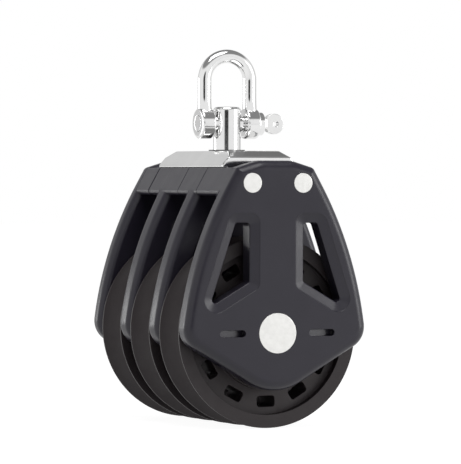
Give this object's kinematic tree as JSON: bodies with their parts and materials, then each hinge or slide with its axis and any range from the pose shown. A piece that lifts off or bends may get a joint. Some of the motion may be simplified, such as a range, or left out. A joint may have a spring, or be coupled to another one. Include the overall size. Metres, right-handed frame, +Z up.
{
  "type": "swivel block",
  "caption": "Marine pulley block with side-by-side sheaves between moulded cheeks, a stainless head cap, a swivel post and a D-shackle with a screw pin.",
  "frame": {"origin": "inside crown of the shackle bow, where the block hangs", "axes": "X across the block and along the shackle pin, Y along the axle with the front cheek at -Y, Z up"},
  "size_m": [0.0768, 0.1014, 0.1493],
  "materials": {
    "black_composite": "moulded, fine satin grain",
    "sheave_composite": "moulded, smooth satin",
    "satin_steel": "satin stainless",
    "polished_steel": "mirror-polished stainless",
    "black_acetal": "smooth",
    "ball_acetal": "smooth"
  },
  "bodies": {
    "shackle": {"shackle": "polished_steel"},
    "pin": {"shackle_pin": "polished_steel"},
    "swivel": {"swivel_post": "polished_steel"},
    "block": {"front_cheek": "black_composite", "front_divider": "black_composite", "rear_divider": "black_composite", "back_cheek": "black_composite", "front_race": "satin_steel", "middle_race": "satin_steel", "rear_race": "satin_steel", "axle": "satin_steel", "axle_screw": "satin_steel", "head_bolts": "satin_steel", "head_bolt_nuts": "satin_steel", "head_cap": "polished_steel", "swivel_bush": "black_acetal", "thrust_washer": "black_acetal"},
    "front_wheel": {"front_sheave": "sheave_composite", "front_retainers": "black_acetal", "front_balls": "ball_acetal"},
    "middle_wheel": {"middle_sheave": "sheave_composite", "middle_retainers": "black_acetal", "middle_balls": "ball_acetal"},
    "rear_wheel": {"rear_sheave": "sheave_composite", "rear_retainers": "black_acetal", "rear_balls": "ball_acetal"}
  },
  "joints": [
    {"name": "shackle_tilt", "type": "hinge", "parent": "shackle", "child": "swivel", "pos_m": [0, 0, -0.0243], "axis": [1, 0, 0], "range_deg": [-100, 100]},
    {"name": "pin_withdraw", "type": "slide", "parent": "shackle", "child": "pin", "axis": [1, 0, 0], "range_m": [0, 0.026]},
    {"name": "swivel_turn", "type": "hinge", "parent": "swivel", "child": "block", "pos_m": [0, 0, -0.0353], "axis": [0, 0, 1], "continuous": true},
    {"name": "front_sheave_spin", "type": "hinge", "parent": "block", "child": "front_wheel", "pos_m": [0, -0.0306, -0.1064], "axis": [0, 1, 0], "continuous": true},
    {"name": "middle_sheave_spin", "type": "hinge", "parent": "block", "child": "middle_wheel", "pos_m": [0, 0, -0.1064], "axis": [0, 1, 0], "continuous": true},
    {"name": "rear_sheave_spin", "type": "hinge", "parent": "block", "child": "rear_wheel", "pos_m": [0, 0.0306, -0.1064], "axis": [0, 1, 0], "continuous": true}
  ]
}
